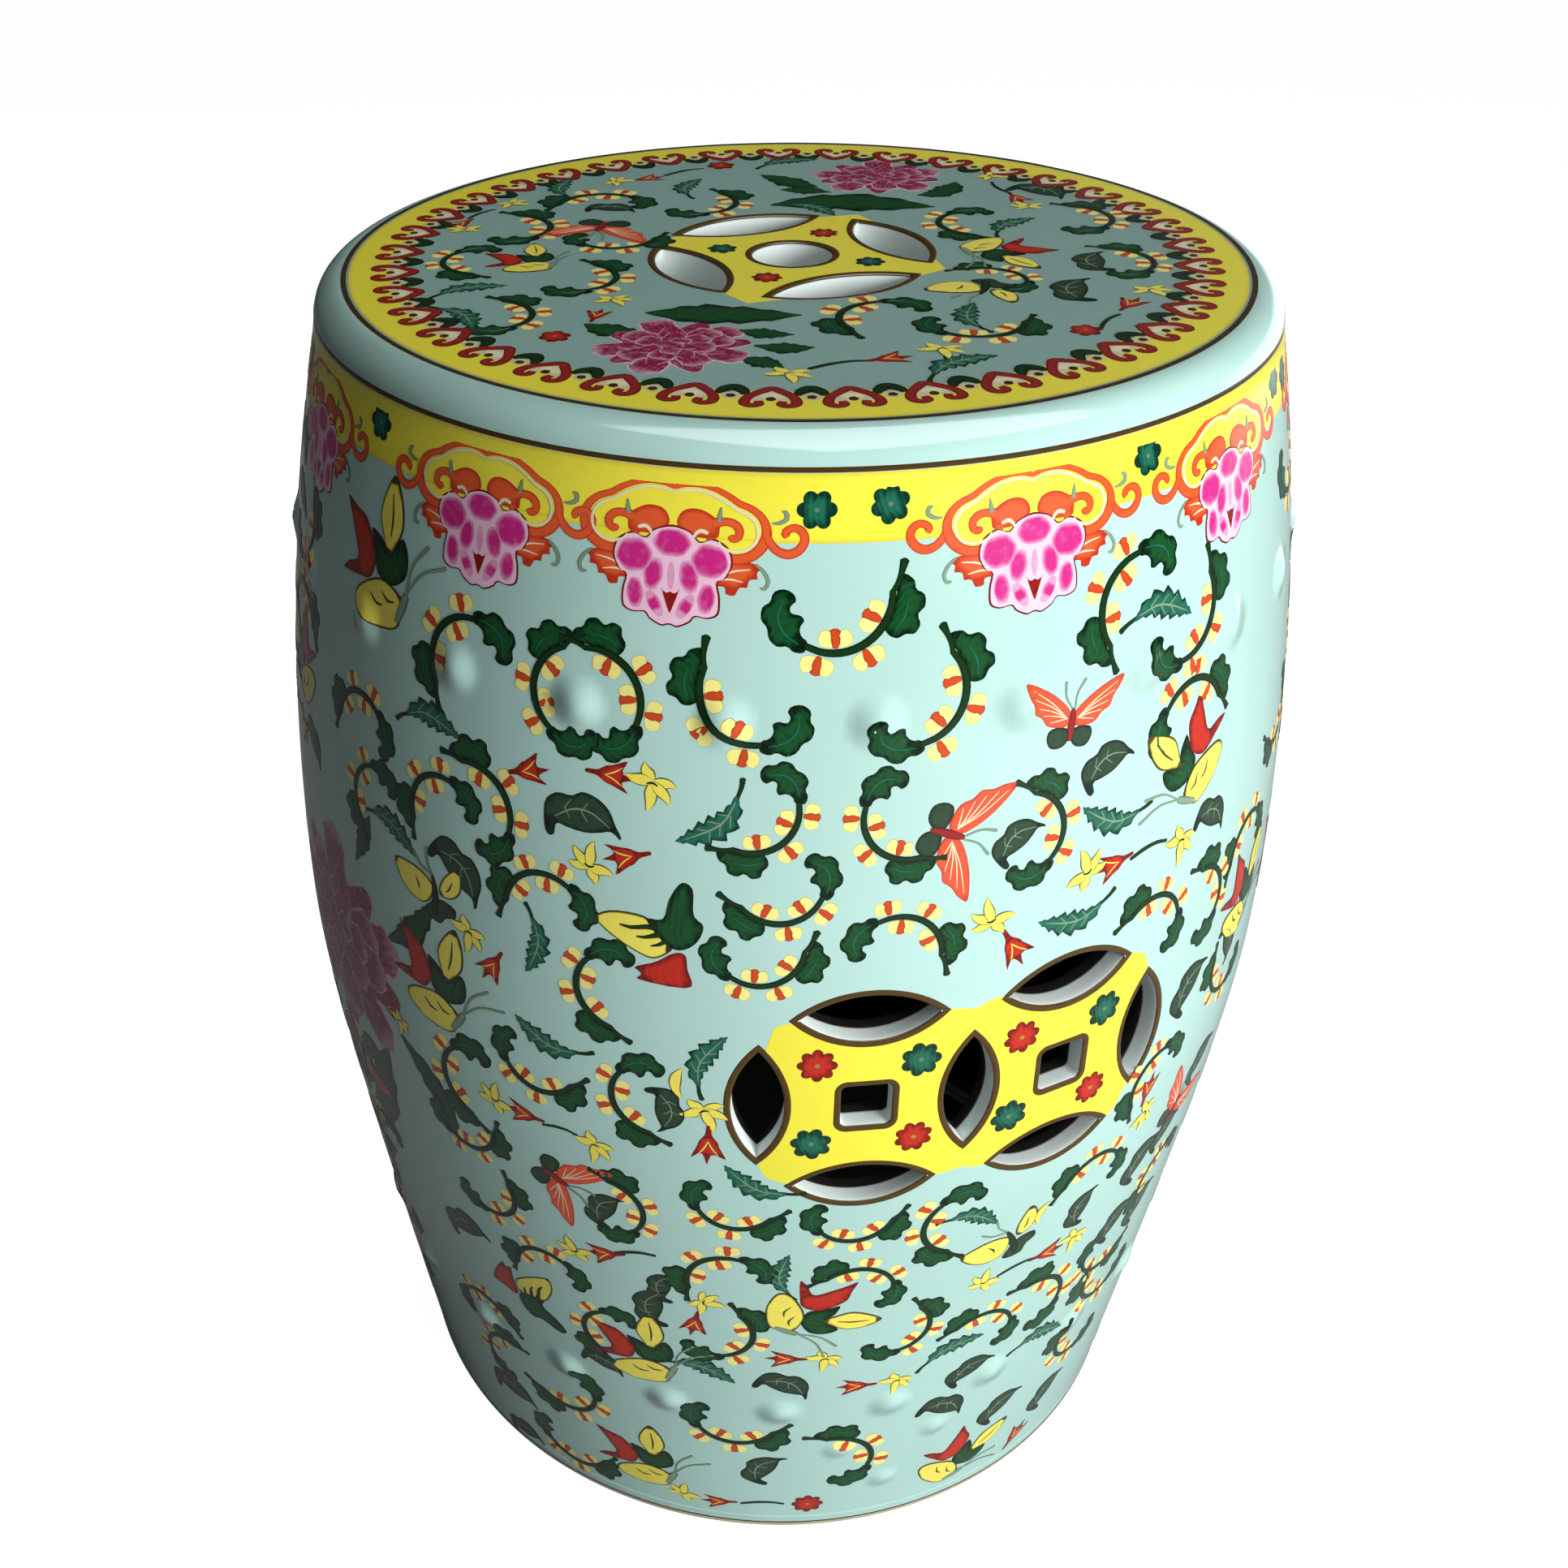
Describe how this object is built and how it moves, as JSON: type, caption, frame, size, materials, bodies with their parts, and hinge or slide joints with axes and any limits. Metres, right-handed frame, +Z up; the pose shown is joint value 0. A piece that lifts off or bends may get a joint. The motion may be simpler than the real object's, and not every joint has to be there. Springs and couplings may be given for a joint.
{
  "type": "ceramic garden stool",
  "caption": "Barrel-shaped glazed ceramic garden stool with a flat pierced seat, a pierced coin panel on two sides and rows of low studs.",
  "frame": {"origin": "on the ground at the centre of the foot", "axes": "+Z up through the middle of the seat, the two pierced coin panels face -Y and +Y"},
  "size_m": [0.3638, 0.3636, 0.46],
  "materials": {
    "celadon_glaze": "high-gloss pale turquoise glaze over fired clay",
    "pale_foot_clay": "thinly glazed pale fired clay",
    "enamel_yellow": "glossy yellow overglaze enamel",
    "enamel_green": "glossy leaf green overglaze enamel",
    "enamel_teal": "glossy teal overglaze enamel",
    "enamel_red": "glossy orange-red overglaze enamel",
    "enamel_pink": "glossy rose pink overglaze enamel",
    "enamel_white": "glossy cream overglaze enamel",
    "enamel_brown": "glossy dark brown enamel line"
  },
  "bodies": {
    "root": {"seat_slab": "celadon_glaze", "upper_barrel": "celadon_glaze", "belly_barrel": "celadon_glaze", "lower_barrel": "celadon_glaze", "foot_ring": "pale_foot_clay", "upper_studs": "celadon_glaze", "lower_studs": "celadon_glaze"}
  },
  "joints": []
}
